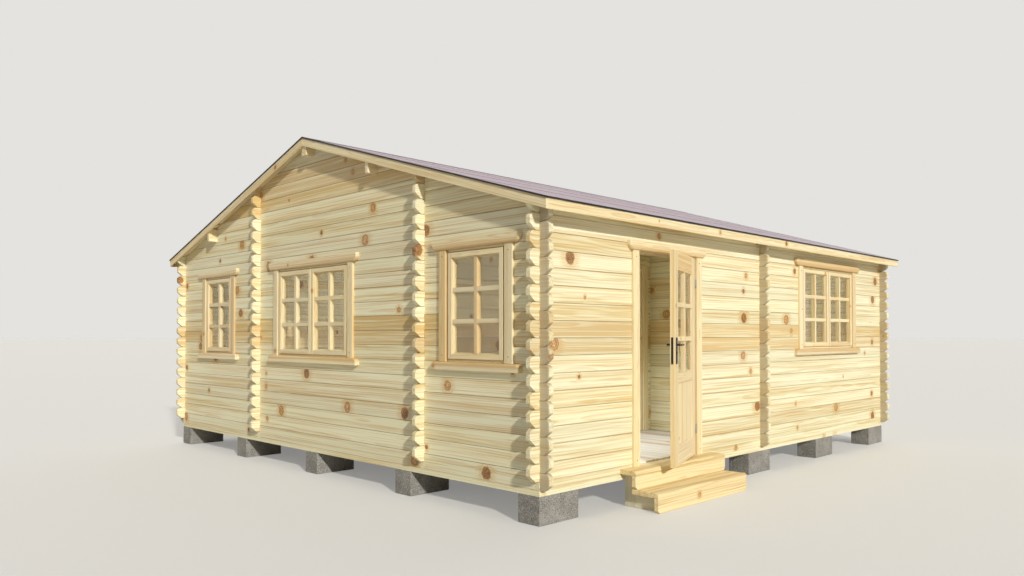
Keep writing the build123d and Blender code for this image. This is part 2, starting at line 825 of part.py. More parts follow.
# Lift-off hinges: a pin half on the jamb, a socket half on the leaf
hinge_levels = [leaf_low + share * (leaf_high - leaf_low) for share in hinge_height_shares]
with BuildPart() as jamb_hinges:
    for level in hinge_levels:
        lower = (level - hinge_knuckle, level - seat)
        with Locations((hinge_x, hinge_y, lower[0])):
            Cylinder(hinge_radius, lower[1] - lower[0], align=(Align.CENTER, Align.CENTER, Align.MIN))
            Cylinder(hinge_pin_radius, hinge_pin_length, align=(Align.CENTER, Align.CENTER, Align.MIN))
        plate_x = (clear[1] - seat - hinge_plate_thickness, clear[1] - seat)
        plate_y = (hinge_y, hinge_y + hinge_radius + hinge_plate_depth)
        slab(plate_x, plate_y, lower)
save(jamb_hinges, "jamb_hinges")

with BuildPart() as leaf_hinges:
    for level in hinge_levels:
        upper = (level + seat, level + hinge_knuckle)
        plate = (leaf_start - seat - hinge_plate_thickness, leaf_start - seat)
        on_leaf(plate, (-hinge_radius - hinge_plate_depth, 0), upper)
        with Locations((hinge_x, hinge_y, upper[0])):
            Cylinder(hinge_radius, upper[1] - upper[0], align=(Align.CENTER, Align.CENTER, Align.MIN))
            Cylinder(
                hinge_pin_radius + seat,
                upper[1] - upper[0],
                align=(Align.CENTER, Align.CENTER, Align.MIN),
                mode=Mode.SUBTRACT,
            )
save(leaf_hinges, "leaf_hinges")

# Handle plates on both faces, the lock's plate in the edge and the levers on one spindle
plate_low = spindle_up - handle_plate_drop_share * handle_plate_height
plate_outs = (
    (leaf_out[1] + seat, leaf_out[1] + seat + handle_plate_thickness),
    (leaf_out[0] - seat - handle_plate_thickness, leaf_out[0] - seat),
)
with BuildPart() as handle_plates:
    for out in plate_outs:
        along = (spindle_at - handle_plate_width / 2, spindle_at + handle_plate_width / 2)
        on_leaf(along, out, (plate_low, plate_low + handle_plate_height))
    spindle_bore((plate_outs[1][0], plate_outs[0][1]))
save(handle_plates, "handle_plates")

with BuildPart() as lock_plate:
    lock_out = (leaf_middle - lock_plate_width / 2, leaf_middle + lock_plate_width / 2)
    lock_along = (leaf_end + seat, leaf_end + seat + lock_plate_thickness)
    on_leaf(lock_along, lock_out, (plate_low, plate_low + handle_plate_height))
save(lock_plate, "lock_plate")

lever_start = (plate_outs[0][1] + lever_gap, plate_outs[1][0] - lever_gap)
with BuildPart() as door_levers:
    half_spindle = spindle_width / 2
    on_leaf(
        (spindle_at - half_spindle, spindle_at + half_spindle),
        (lever_start[1], lever_start[0]),
        (spindle_up - half_spindle, spindle_up + half_spindle),
    )
    for start, outward in zip(lever_start, (1, -1)):
        neck = (spindle_at - lever_thickness / 2, spindle_at + lever_thickness / 2)
        tip = spindle_at - lever_length
        bend = start + outward * lever_standoff
        with BuildSketch(leaf_plane.offset(spindle_up)) as outline:
            with BuildLine():
                Polyline(
                    (neck[0], start),
                    (neck[1], start),
                    (neck[1], bend),
                    (tip, bend),
                    (tip, bend - outward * lever_thickness),
                    (neck[0], bend - outward * lever_thickness),
                    close=True,
                )
            make_face()
            outer_end = -1 if outward > 0 else 0
            fillet(outline.vertices().group_by(Axis.X)[-1].sort_by(Axis.Y)[outer_end], lever_bend)
        extrude(amount=lever_height / 2, both=True)
save(door_levers, "door_levers")

# Steps: stringers on the ground, risers against them and rounded treads on top
steps_left = door_x - steps_width / 2
steps_span = (steps_left, steps_left + steps_width)
lower_under = lower_tread_level - tread_thickness
upper_under = upper_tread_level - tread_thickness
stringer_front = front - lower_riser_reach + riser_thickness + seat
stringer_rise = front - upper_riser_reach + riser_thickness + seat
with BuildPart() as step_stringers:
    for inner in (steps_span[0] + stringer_inset, door_x - stringer_thickness / 2,
                  steps_span[1] - stringer_inset - stringer_thickness):
        thick = (inner, inner + stringer_thickness)
        slab(thick, (stringer_rise, front - seat), (0, upper_under - seat))
        slab(thick, (stringer_front, stringer_rise - seat), (0, lower_under - seat))
save(step_stringers, "step_stringers")


def riser_board(reach, up):
    """Upright board across the steps with its lower corners bevelled."""
    plane = Plane(origin=(0, front - reach, 0), x_dir=(1, 0, 0), z_dir=(0, -1, 0))
    with BuildSketch(plane) as outline:
        with Locations((door_x, (up[0] + up[1]) / 2)):
            Rectangle(steps_width, up[1] - up[0])
        chamfer(outline.vertices().group_by(Axis.Y)[0], riser_bevel)
    return extrude(outline.sketch, amount=-riser_thickness, mode=Mode.PRIVATE)


with BuildPart() as step_risers:
    add(riser_board(lower_riser_reach, (0, lower_under - seat)))
    add(riser_board(upper_riser_reach, (lower_tread_level + seat, upper_under - seat)))
save(step_risers, "step_risers")

with BuildPart() as step_treads:
    for reach, back_y, top in (
        (lower_riser_reach, front - upper_riser_reach + riser_thickness, lower_tread_level),
        (upper_riser_reach, front - seat, upper_tread_level),
    ):
        front_y = front - reach
        plane = Plane(origin=(steps_span[0], 0, 0), x_dir=(0, 1, 0), z_dir=(1, 0, 0))
        with BuildSketch(plane) as profile:
            with Locations(((front_y + back_y) / 2, top - tread_thickness / 2)):
                Rectangle(back_y - front_y, tread_thickness)
            fillet(profile.vertices().group_by(Axis.Y)[-1].sort_by(Axis.X)[0], tread_round)
        extrude(amount=steps_width)
save(step_treads, "step_treads")
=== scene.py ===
"""Looks of the log summer house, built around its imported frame. Lengths in metres."""

import json
from math import atan, cos, pi, radians

import bpy
import numpy as np
from mathutils import Matrix, Vector

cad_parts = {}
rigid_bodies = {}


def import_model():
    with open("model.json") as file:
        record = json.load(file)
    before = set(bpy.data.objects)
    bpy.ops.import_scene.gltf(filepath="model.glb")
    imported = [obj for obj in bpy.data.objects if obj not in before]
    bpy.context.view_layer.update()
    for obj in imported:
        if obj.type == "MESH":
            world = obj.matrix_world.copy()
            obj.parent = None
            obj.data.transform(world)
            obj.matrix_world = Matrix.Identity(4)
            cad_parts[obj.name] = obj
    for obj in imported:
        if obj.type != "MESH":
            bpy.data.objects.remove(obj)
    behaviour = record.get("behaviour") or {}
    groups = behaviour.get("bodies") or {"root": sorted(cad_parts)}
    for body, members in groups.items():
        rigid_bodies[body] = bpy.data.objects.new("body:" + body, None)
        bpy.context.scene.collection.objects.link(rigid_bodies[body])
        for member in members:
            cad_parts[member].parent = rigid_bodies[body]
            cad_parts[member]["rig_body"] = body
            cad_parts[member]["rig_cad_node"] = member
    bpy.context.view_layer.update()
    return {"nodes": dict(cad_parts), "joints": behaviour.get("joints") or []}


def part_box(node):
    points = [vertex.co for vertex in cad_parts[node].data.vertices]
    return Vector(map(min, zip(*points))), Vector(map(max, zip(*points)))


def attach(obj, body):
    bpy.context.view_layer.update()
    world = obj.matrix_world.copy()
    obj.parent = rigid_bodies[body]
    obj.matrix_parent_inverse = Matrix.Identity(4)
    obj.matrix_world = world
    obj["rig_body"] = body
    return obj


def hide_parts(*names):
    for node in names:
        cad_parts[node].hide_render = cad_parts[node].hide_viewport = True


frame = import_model()
nodes = frame["nodes"]

# Camera, as the photograph was taken
camera_place = (-7.971, -7.608, 1.489)
camera_turn = (90.929, 0.0, -44.733)
camera_lens = 27.74
camera_sensor = 36.0
camera_rise_share = 0.0337

# Studio
floor_reach = 400.0
floor_color = (0.60, 0.60, 0.595, 1.0)
floor_glow = 0.355
sky_light = 0.26
sky_color = (1.0, 0.93, 0.83, 1.0)
sky_shown = (0.775, 0.767, 0.745, 1.0)
sun_turn = (66.0, 0.0, -21.0)
sun_strength = 2.86
sun_softness = 3.0
fill_turn = (52.0, 0.0, 140.0)
fill_strength = 0.9
fill_softness = 90.0
sun_color = (1.0, 0.965, 0.88)
fill_color = (1.0, 0.97, 0.92)
room_lamp_power = 3.3
room_lamp_share = 0.7
room_lamp_rise = 0.85
room_lamp_color = (0.84, 0.93, 1.0)

# Meshes: how near points, faces and edges count as one, and which edges are rounded or shaded smooth
merge_distance = 0.00005
sliver_length = 0.0006
near_enough = 0.001
flat_angle = radians(0.5)
sharp_angle = radians(25)
smooth_angle = radians(32)

# Wood: edges of logs, planks and joinery, and the spacing of knots and rings
log_edge = 0.005
log_groove = (0.0645, 0.0685)
plank_edge = 0.003
joinery_edge = 0.003
step_edge = 0.003
block_edge = 0.007
trim_edge = 0.018
ring_width = 0.0065
log_ring = 0.017
knot_spacing = 1.05
knot_run = 83.0
knot_room = 0.6
knot_limit = 0.38
knot_wobble = 0.55
knot_turn_rate = 11.0
heart_spread = 0.16
heart_depth = (0.03, 0.09)
wave_reach = 0.045
halo_reach = 0.018
# Logs whose middle lies in these height ranges get a darker golden tone: the lower range is the logs' own colour, the
# upper range, high in the gables under the roof, is painted shade
golden_and_shaded_courses = ((1.36, 1.63), (2.88, 3.30))
golden_and_shade_share = (0.88, 0.10)
plain_share = 0.85

# Wood: how far each noise is drawn out along the grain, and how much each mark darkens the board
wobble_scale = (34.0, 34.0, 34.0)
wave_scale = (1.0, 5.0, 5.0)
streak_scale = (0.5, 17.0, 17.0)
pale_scale = (0.35, 27.0, 27.0)
fibre_scale = (5.0, 260.0, 260.0)
vein_scale = (0.45, 62.0, 62.0)
board_shift = (61.0, 47.0, 53.0)
streak_tone = 0.60
vein_tone = 0.36
ring_tone = 0.36
fibre_tone = 0.35
halo_tone = 0.25
board_tones = (-0.08, 0.62)
pale_tone = -0.45
# nose_tones: one half of a trim across its width is darker; under the head trims' rounded noses this is painted shade
nose_tones = (-0.15, 0.5)
nose_reach = 0.012

# Wood: colours of knots, of the joints between logs and of the painted shade on the log tips
live_knot_colors = (0.43, 0.19, 0.065, 1.0), (0.78, 0.50, 0.22, 1.0)
dead_knot_colors = (0.23, 0.11, 0.045, 1.0), (0.44, 0.23, 0.09, 1.0)
knot_halo_color = (0.72, 0.46, 0.18, 1.0)
knot_rim_color = (0.24, 0.105, 0.035, 1.0)
groove_color = (0.28, 0.19, 0.085, 1.0)
# Painted shade on the log tips: its colour and how strongly it covers the wood
tip_shade_color = (0.43, 0.35, 0.24, 1.0)
tip_shade_share = 0.72

# Concrete, roofing and glass
concrete_colors = (0.22, 0.21, 0.195, 1.0), (0.31, 0.30, 0.28, 1.0)
concrete_grain_color = (0.52, 0.50, 0.47, 1.0)
concrete_pit_color = (0.075, 0.07, 0.065, 1.0)
roofing_colors = (0.205, 0.130, 0.147, 1.0), (0.250, 0.168, 0.190, 1.0)
roofing_grain_color = (0.40, 0.30, 0.33, 1.0)
roofing_sheen = 0.8
roofing_sheen_roughness = 0.35
roofing_sheen_color = (0.82, 0.72, 0.90, 1.0)
# Blacks of the roofing's edge strips: painted shade
roofing_shade_blacks = (0.012, 0.009, 0.009, 1.0), (0.045, 0.036, 0.036, 1.0)
glass_colors = (0.90, 0.95, 0.94, 1.0), (0.96, 0.98, 0.97, 1.0)
glass_index = 1.45
glass_cover = 0.14
worn_share = 1.6

# Boards and bars that the frame leaves out
floor_board_width = 0.095
roof_board_width = 0.118
board_gap = 0.0015
bar_width = 0.040
bar_depth = 0.039
bar_proud = 0.010
bead_width = 0.007
bead_depth = 0.008
sash_face = 0.020
moulding_inset = 0.006
moulding_width = 0.044
moulding_depth = 0.022
panel_boards = 5
nail_radius = 0.0045
nail_rise = 0.0015
nail_recess = 0.0003
nail_inset = 0.056
corner_steps = 5
step_corner = 0.034

# Roofing laid in strips up each slope, with black edges that are painted shade and a cap over the ridge
strip_count = 4
strip_lap = 0.08
strip_thickness = 0.009
strip_lift = 0.003
roofing_edge = 0.014
strip_edge = 0.0015
cap_width = 0.16
cap_thickness = 0.003
cap_edge = 0.001
cap_lap = 0.0005
edge_side_reach = 0.001
edge_foot_reach = 0.002
edge_rise = 0.0005

# Handle: a bent round lever on each side, on a long plate with a key rose and two screws
lever_radius = 0.0085
lever_bend = 0.017
lever_edge = 0.003
plate_corner = 0.012
plate_edge = 0.0018
rose_radius = 0.015
rose_thickness = 0.003
key_radius = 0.0085
key_drop = 0.072
rose_recess = 0.0005
key_recess = 0.0025
screw_radius = 0.0042
screw_inset = 0.014
screw_rise = 0.0015
screw_recess = 0.0008
head_sides = 14
head_share = 0.35
lever_sides = 16
lever_elbow_steps = 7
lever_grip = ((0.3, (1, 0.9, 1.06)), (0.4, (1, 0.95, 1.0)), (0.3, (1, 0.9, 0.88)))

# Lock plate: the latch and the bolt stand out of it
lock_edge = 0.0005
latch_reach = 0.004
latch_half_height = 0.008
latch_inset = 0.005
bolt_reach = 0.001
bolt_drop = (0.10, 0.07)
bolt_inset = 0.006

# Entrance door: it stands ajar, so its pieces are made as if closed and then turned
door_joint = next(joint for joint in frame["joints"] if joint["name"] == "door_swing")
hinge_axis = Vector(door_joint["pos_m"])
ajar = -radians(door_joint["range_deg"][0])
door_turn = Matrix.Translation(hinge_axis) @ Matrix.Rotation(ajar, 4, "Z") @ Matrix.Translation(-hinge_axis)

# Roof slope, and the walls' outer faces
slope_rise = 0.303
slope_angle = atan(slope_rise)
half_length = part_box("sill_beams")[1].x
half_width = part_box("sill_beams")[1].y
log_tips = (half_width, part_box("left_gable_wall")[1].y)


# Scene helpers
def activate(piece):
    """Select one piece alone and make it active."""
    bpy.ops.object.select_all(action="DESELECT")
    piece.select_set(True)
    bpy.context.view_layer.objects.active = piece


def edit(piece, select="SELECT"):
    """Open a piece in edit mode with everything selected or nothing."""
    activate(piece)
    bpy.ops.object.mode_set(mode="EDIT")
    bpy.ops.mesh.select_all(action=select)


def close_edit():
    """Go back to object mode."""
    bpy.ops.object.mode_set(mode="OBJECT")


def copy_node(node, name):
    """A free copy of a CAD node, with its triangles merged into plain faces."""
    piece = nodes[node].copy()
    piece.data = nodes[node].data.copy()
    piece.name = piece.data.name = name
    piece.parent = None
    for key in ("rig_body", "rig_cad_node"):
        del piece[key]
    bpy.context.scene.collection.objects.link(piece)
    piece.hide_render = piece.hide_viewport = False
    piece.hide_set(False)
    piece.data.materials.clear()
    edit(piece)
    bpy.ops.mesh.remove_doubles(threshold=merge_distance)
    bpy.ops.mesh.dissolve_limited(angle_limit=flat_angle)
    bpy.ops.mesh.select_all(action="SELECT")
    bpy.ops.mesh.dissolve_degenerate(threshold=sliver_length)
    close_edit()
    return piece


def smooth_edges(piece):
    """Shade rounded edges smooth, with the faces between them left flat."""
    activate(piece)
    bpy.ops.object.shade_smooth_by_angle(angle=smooth_angle)
    flat = piece.modifiers.new("flat_faces", "WEIGHTED_NORMAL")
    flat.keep_sharp = True
    bpy.ops.object.modifier_apply(modifier=flat.name)


def soften(piece, width, segments=2):
    """Round a piece's sharp edges."""
    activate(piece)
    bevel = piece.modifiers.new("edges", "BEVEL")
    bevel.width = width
    bevel.segments = segments
    bevel.limit_method = "ANGLE"
    bevel.angle_limit = sharp_angle
    bevel.use_clamp_overlap = False
    bpy.ops.object.modifier_apply(modifier=bevel.name)
    smooth_edges(piece)
    return piece


def boards(name, boxes, edge):
    """One mesh of boards given by their lowest and highest corners, with rounded edges."""
    bpy.ops.object.select_all(action="DESELECT")
    for index, (low, high) in enumerate(boxes):
        low, high = Vector(low), Vector(high)
        bpy.ops.mesh.primitive_cube_add(size=1, location=(low + high) / 2, scale=high - low)
        if index == 0:
            piece = bpy.context.active_object
            piece.name = piece.data.name = name
            bpy.ops.object.transform_apply(location=True, rotation=True, scale=True)
            bpy.ops.object.mode_set(mode="EDIT")
    bpy.ops.mesh.select_all(action="SELECT")
    bpy.ops.mesh.bevel(offset=edge, segments=2, affect="EDGES")
    close_edit()
    smooth_edges(piece)
    return piece


def turn_mesh(piece, matrix):
    """Turn a piece's mesh in place, with its object left at the origin."""
    activate(piece)
    piece.matrix_world = matrix
    bpy.ops.object.transform_apply(location=True, rotation=True, scale=True)
    return piece


def select_edges(piece, wanted):
    """Open a piece in edit mode with only the edges selected whose two ends pass a test."""
    edit(piece, "DESELECT")
    bpy.ops.mesh.select_mode(type="EDGE")
    close_edit()
    points = piece.data.vertices
    for edge in piece.data.edges:
        edge.select = wanted(points[edge.vertices[0]].co, points[edge.vertices[1]].co)
    activate(piece)
    bpy.ops.object.mode_set(mode="EDIT")


def select_face(piece, direction):
    """Open a piece in edit mode with only the face selected that lies furthest along a direction."""
    edit(piece, "DESELECT")
    bpy.ops.mesh.select_mode(type="FACE")
    close_edit()

    def reach(face):
        return face.center.dot(direction) + near_enough * face.normal.dot(direction)

    max(piece.data.polygons, key=reach).select = True
    activate(piece)
    bpy.ops.object.mode_set(mode="EDIT")


def join(name, pieces):
    """One piece out of several."""
    activate(pieces[0])
    for piece in pieces:
        piece.select_set(True)
    bpy.ops.object.join()
    pieces[0].name = pieces[0].data.name = name
    return pieces[0]


def round_head(center, out, radius, height, recess):
    """A round head that stands out from a face, with a rounded rim and a sunk middle."""
    bpy.ops.object.select_all(action="DESELECT")
    turn = out.to_track_quat("Z", "Y").to_euler()
    middle = center + out * height / 2
    bpy.ops.mesh.primitive_cylinder_add(
        vertices=head_sides, radius=radius, depth=height, location=middle, rotation=turn
    )
    piece = bpy.context.active_object
    bpy.ops.object.transform_apply(location=True, rotation=True, scale=True)
    select_face(piece, out)
    bpy.ops.mesh.bevel(offset=head_share * height, segments=2, affect="EDGES")
    close_edit()
    select_face(piece, out)
    bpy.ops.mesh.inset(thickness=head_share * radius)
    bpy.ops.transform.translate(value=-out * recess)
    close_edit()
    smooth_edges(piece)
    return piece


def corners_of(piece):
    """Vertices of a mesh as an array."""
    points = np.zeros(len(piece.data.vertices) * 3, np.float32)
    piece.data.vertices.foreach_get("co", points)
    return points.reshape(-1, 3).astype(float)


def solids_of(piece):
    """Number of the separate solid that each vertex of a mesh belongs to."""
    ends = np.zeros(len(piece.data.edges) * 2, np.int32)
    piece.data.edges.foreach_get("vertices", ends)
    ends = ends.reshape(-1, 2)
    label = np.arange(len(piece.data.vertices))
    while True:
        lowest = np.minimum(label[ends[:, 0]], label[ends[:, 1]])
        before = label.copy()
        np.minimum.at(label, ends[:, 0], lowest)
        np.minimum.at(label, ends[:, 1], lowest)
        label = label[label]
        if (label == before).all():
            return np.unique(label, return_inverse=True)[1]


def solid_boxes(node, turn=None):
    """Lowest and highest corner of each solid of a CAD node, turned back by a matrix first."""
    piece = copy_node(node, "measured")
    points = corners_of(piece)
    if turn is not None:
        back = np.array(turn.inverted())
        points = points @ back[:3, :3].T + back[:3, 3]
    label = solids_of(piece)
    mesh = piece.data
    bpy.data.objects.remove(piece)
    bpy.data.meshes.remove(mesh)
    return [
        (Vector(points[label == index].min(0)), Vector(points[label == index].max(0)))
        for index in range(label.max() + 1)
    ]


def lay_grain(piece, turn=None, seed=1, banded=False):
    """Give each solid its own grain: along, across and through it, three random numbers and its girth."""
    points = corners_of(piece)
    if turn is not None:
        points = turn(points)
    label = solids_of(piece)
    drawn = np.random.default_rng(seed).random((label.max() + 1, 3))
    grain = np.zeros_like(points)
    girth = np.zeros(len(points))
    for index in range(label.max() + 1):
        mine = label == index
        low, high = points[mine].min(0), points[mine].max(0)
        order = np.argsort(low - high)
        grain[mine] = (points[mine] - (low + high) / 2)[:, order]
        girth[mine] = (high - low)[order[1]]
        # Darker golden logs in two height ranges: own colour in the lower one, painted shade high in the gables in
        # the upper one
        if banded and any(start < (low[2] + high[2]) / 2 < end for start, end in golden_and_shaded_courses):
            drawn[index, 0] = golden_and_shade_share[0] + golden_and_shade_share[1] * drawn[index, 0]
        elif banded:
            drawn[index, 0] *= plain_share
    for name, values in (("grain", grain), ("board", drawn[label])):
        layer = piece.data.attributes.new(name, "FLOAT_VECTOR", "POINT")
        layer.data.foreach_set("vector", values.astype(np.float32).ravel())
    layer = piece.data.attributes.new("girth", "FLOAT", "POINT")
    layer.data.foreach_set("value", girth.astype(np.float32))


# Material helpers
def new_material(name):
    """A new material, with its tree and its shader."""
    made = bpy.data.materials.new(name)
    made.use_nodes = True
    tree = made.node_tree
    shader = tree.nodes["Principled BSDF"]
    return made, tree, shader


def put(tree, kind, inputs, **settings):
    """Add a node, set its options and feed its inputs with sockets or plain values."""
    made = tree.nodes.new("ShaderNode" + kind)
    for name, value in settings.items():
        setattr(made, name, value)
    for socket, value in inputs.items():
        if isinstance(value, bpy.types.NodeSocket):
            tree.links.new(value, made.inputs[socket])
        else:
            made.inputs[socket].default_value = value
    return made.outputs


def sum_of(tree, first, second):
    """Two values added."""
    return put(tree, "Math", {0: first, 1: second}, operation="ADD")[0]


def times(tree, first, second):
    """Two values multiplied."""
    return put(tree, "Math", {0: first, 1: second}, operation="MULTIPLY")[0]


def length_of(tree, first, second):
    """Length of the long side over two short ones."""
    square = sum_of(tree, times(tree, first, first), times(tree, second, second))
    return put(tree, "Math", {0: square}, operation="SQRT")[0]


def ease(tree, value, low, high, start=0.0, end=1.0):
    """Smooth change from start to end as a value goes from low to high."""
    inputs = {"Value": value, "From Min": low, "From Max": high, "To Min": start, "To Max": end}
    return put(tree, "MapRange", inputs, interpolation_type="SMOOTHSTEP")[0]


def blend_colors(tree, share, first, second):
    """Mix of two colours."""
    return put(tree, "Mix", {0: share, 6: first, 7: second}, data_type="RGBA")[2]


def stretched_noise(tree, grain, shift, scale, detail):
    """Noise drawn out along the grain."""
    drawn = put(tree, "VectorMath", {0: grain, 1: scale}, operation="MULTIPLY")[0]
    place = put(tree, "VectorMath", {0: drawn, 1: shift}, operation="ADD")[0]
    return put(tree, "TexNoise", {"Vector": place, "Scale": 1.0, "Detail": detail, "Roughness": 0.55})[0]


def wood(name, light, dark, knot_size, knot_share, ring=ring_width, groove=None, nose=0, shaded_tips=None):
    """Planed softwood with rings, streaks, fibres and knots, and maybe log joints, a darker half on a trim's nose,
    which under the head trims' noses is painted shade, or painted shade on the log tips.
    """
    made, tree, shader = new_material(name)
    grain = put(tree, "Attribute", {}, attribute_name="grain")["Vector"]
    board = put(tree, "Attribute", {}, attribute_name="board")["Vector"]
    girth = put(tree, "Attribute", {}, attribute_name="girth")["Fac"]
    along, across, through = put(tree, "SeparateXYZ", {0: grain})
    first, second, third = put(tree, "SeparateXYZ", {0: board})
    shift = put(tree, "VectorMath", {0: board, 1: board_shift}, operation="MULTIPLY")[0]

    # Knots: at most one in each stretch of a board
    run = sum_of(tree, along, times(tree, second, knot_run))
    cells = put(
        tree,
        "TexVoronoi",
        {"W": run, "Scale": 1 / knot_spacing, "Randomness": 0.9},
        voronoi_dimensions="1D",
    )
    pick, place, size = put(tree, "SeparateColor", {0: cells["Color"]})
    wobble = stretched_noise(tree, grain, shift, wobble_scale, 2.0)
    beside = times(tree, cells["Distance"], knot_spacing)
    over = sum_of(tree, across, times(tree, sum_of(tree, place, -0.5), times(tree, girth, knot_room)))
    radius = times(tree, sum_of(tree, size, 0.3), knot_size)
    radius = put(tree, "Math", {0: radius, 1: times(tree, girth, knot_limit)}, operation="MINIMUM")[0]
    reach = put(tree, "Math", {0: length_of(tree, beside, over), 1: radius}, operation="DIVIDE")[0]
    reach = sum_of(tree, reach, times(tree, sum_of(tree, wobble, -0.5), knot_wobble))
    chosen = put(tree, "Math", {0: pick, 1: 1 - knot_share}, operation="GREATER_THAN")[0]
    knot = times(tree, ease(tree, reach, 1.0, 0.84), chosen)
    rim = times(tree, times(tree, ease(tree, reach, 0.66, 0.92), ease(tree, reach, 1.16, 0.96)), chosen)
    halo = times(tree, ease(tree, reach, 3.0, 0.8), chosen)
    turned = times(tree, sum_of(tree, reach, wobble), knot_turn_rate)
    knot_turns = put(tree, "Math", {0: turned}, operation="SINE")[0]
    dead_knot = ease(tree, pick, 1 - 0.45 * knot_share, 1 - 0.3 * knot_share)

    # Rings about a heart that lies behind each board
    wave = stretched_noise(tree, grain, shift, wave_scale, 2.0)
    heart_across = sum_of(tree, across, times(tree, sum_of(tree, second, -0.5), heart_spread))
    heart_through = sum_of(tree, through, sum_of(tree, times(tree, third, heart_depth[1]), heart_depth[0]))
    ring_place = sum_of(tree, length_of(tree, heart_across, heart_through), times(tree, wave, wave_reach))
    ring_place = sum_of(tree, ring_place, times(tree, halo, halo_reach))
    turns = put(tree, "Math", {0: times(tree, ring_place, 1 / ring)}, operation="FRACT")[0]
    rings = times(tree, ease(tree, turns, 0.25, 0.8), ease(tree, turns, 1.0, 0.88))

    # Streaks and fibres
    streaks = stretched_noise(tree, grain, shift, streak_scale, 4.0)
    pale = stretched_noise(tree, grain, shift, pale_scale, 2.0)
    fibres = stretched_noise(tree, grain, shift, fibre_scale, 2.0)
    veins = stretched_noise(tree, grain, shift, vein_scale, 2.0)
    tone = times(tree, ease(tree, streaks, 0.36, 0.66), streak_tone)
    marks = [
        ease(tree, veins, 0.55, 0.64, 0.0, vein_tone),
        times(tree, rings, ring_tone),
        times(tree, sum_of(tree, fibres, -0.5), fibre_tone),
        times(tree, halo, halo_tone),
        ease(tree, first, 0.72, 1.0, *board_tones),
        ease(tree, pale, 0.50, 0.62, 0.0, pale_tone),
    ]
    # Nose: one half of the board across its width is darker; on the head trims this darker lower half is painted
    # shade under the rounded nose
    if nose:
        marks.append(ease(tree, times(tree, across, nose), -nose_reach, nose_reach, *nose_tones))
    for mark in marks:
        tone = sum_of(tree, tone, mark)
    tone = put(tree, "Clamp", {0: tone})[0]
    color = blend_colors(tree, tone, (*light, 1.0), (*dark, 1.0))
    knot_rings = ease(tree, knot_turns, -1.0, 1.0)
    live = blend_colors(tree, knot_rings, *live_knot_colors)
    dead = blend_colors(tree, knot_rings, *dead_knot_colors)
    halo_lines = times(tree, halo, sum_of(tree, times(tree, knot_rings, -0.3), 0.62))
    color = blend_colors(tree, halo_lines, color, knot_halo_color)
    color = blend_colors(tree, knot, color, blend_colors(tree, dead_knot, live, dead))
    color = blend_colors(tree, times(tree, rim, 0.6), color, knot_rim_color)
    if groove:
        beside_edge = put(tree, "Math", {0: across}, operation="ABSOLUTE")[0]
        sunk = ease(tree, beside_edge, *groove, 0.0, 0.5)
        color = blend_colors(tree, sunk, color, groove_color)
    # Painted shade: the log tips that stand out past the eaves walls are greyed darker
    if shaded_tips:
        place = put(tree, "TexCoord", {})["Object"]
        outwards = put(tree, "Math", {0: put(tree, "SeparateXYZ", {0: place})[1]}, operation="ABSOLUTE")[0]
        start, end = shaded_tips
        tip_shade = times(tree, ease(tree, outwards, start, start + 0.01), ease(tree, outwards, end, end - 0.025))
        color = blend_colors(tree, times(tree, tip_shade, tip_shade_share), color, tip_shade_color)
    shade = put(
        tree,
        "HueSaturation",
        {
            "Saturation": sum_of(tree, times(tree, third, 0.16), 0.92),
            "Value": sum_of(tree, times(tree, second, 0.10), 0.93),
            "Color": color,
        },
    )[0]
    tree.links.new(shade, shader.inputs["Base Color"])

    height = sum_of(tree, times(tree, rings, 0.5), fibres)
    bump = put(tree, "Bump", {"Strength": 0.25, "Distance": 0.0012, "Height": height})[0]
    tree.links.new(bump, shader.inputs["Normal"])
    tree.links.new(sum_of(tree, times(tree, streaks, 0.2), 0.45), shader.inputs["Roughness"])
    shader.inputs["Specular IOR Level"].default_value = 0.35
    return made


def concrete():
    """Grey cast block with dark and pale grains and shallow pits."""
    made, tree, shader = new_material("cast_concrete")
    place = put(tree, "TexCoord", {})["Object"]
    cloud = put(tree, "TexNoise", {"Vector": place, "Scale": 7.0, "Detail": 5.0})[0]
    grain = put(tree, "TexNoise", {"Vector": place, "Scale": 95.0, "Detail": 3.0})[0]
    chips = put(tree, "TexVoronoi", {"Vector": place, "Scale": 62.0})
    tint = put(tree, "SeparateColor", {0: chips["Color"]})[0]
    color = blend_colors(tree, ease(tree, cloud, 0.3, 0.7), *concrete_colors)
    color = blend_colors(tree, ease(tree, grain, 0.50, 0.70, 0.0, 0.8), color, concrete_grain_color)
    dark = times(tree, ease(tree, chips["Distance"], 0.45, 0.2), ease(tree, tint, 0.55, 0.7))
    color = blend_colors(tree, times(tree, dark, 0.85), color, concrete_pit_color)
    tree.links.new(color, shader.inputs["Base Color"])
    height = sum_of(tree, grain, times(tree, dark, -0.8))
    bump = put(tree, "Bump", {"Strength": 0.5, "Distance": 0.003, "Height": height})[0]
    tree.links.new(bump, shader.inputs["Normal"])
    shader.inputs["Roughness"].default_value = 0.9
    return made


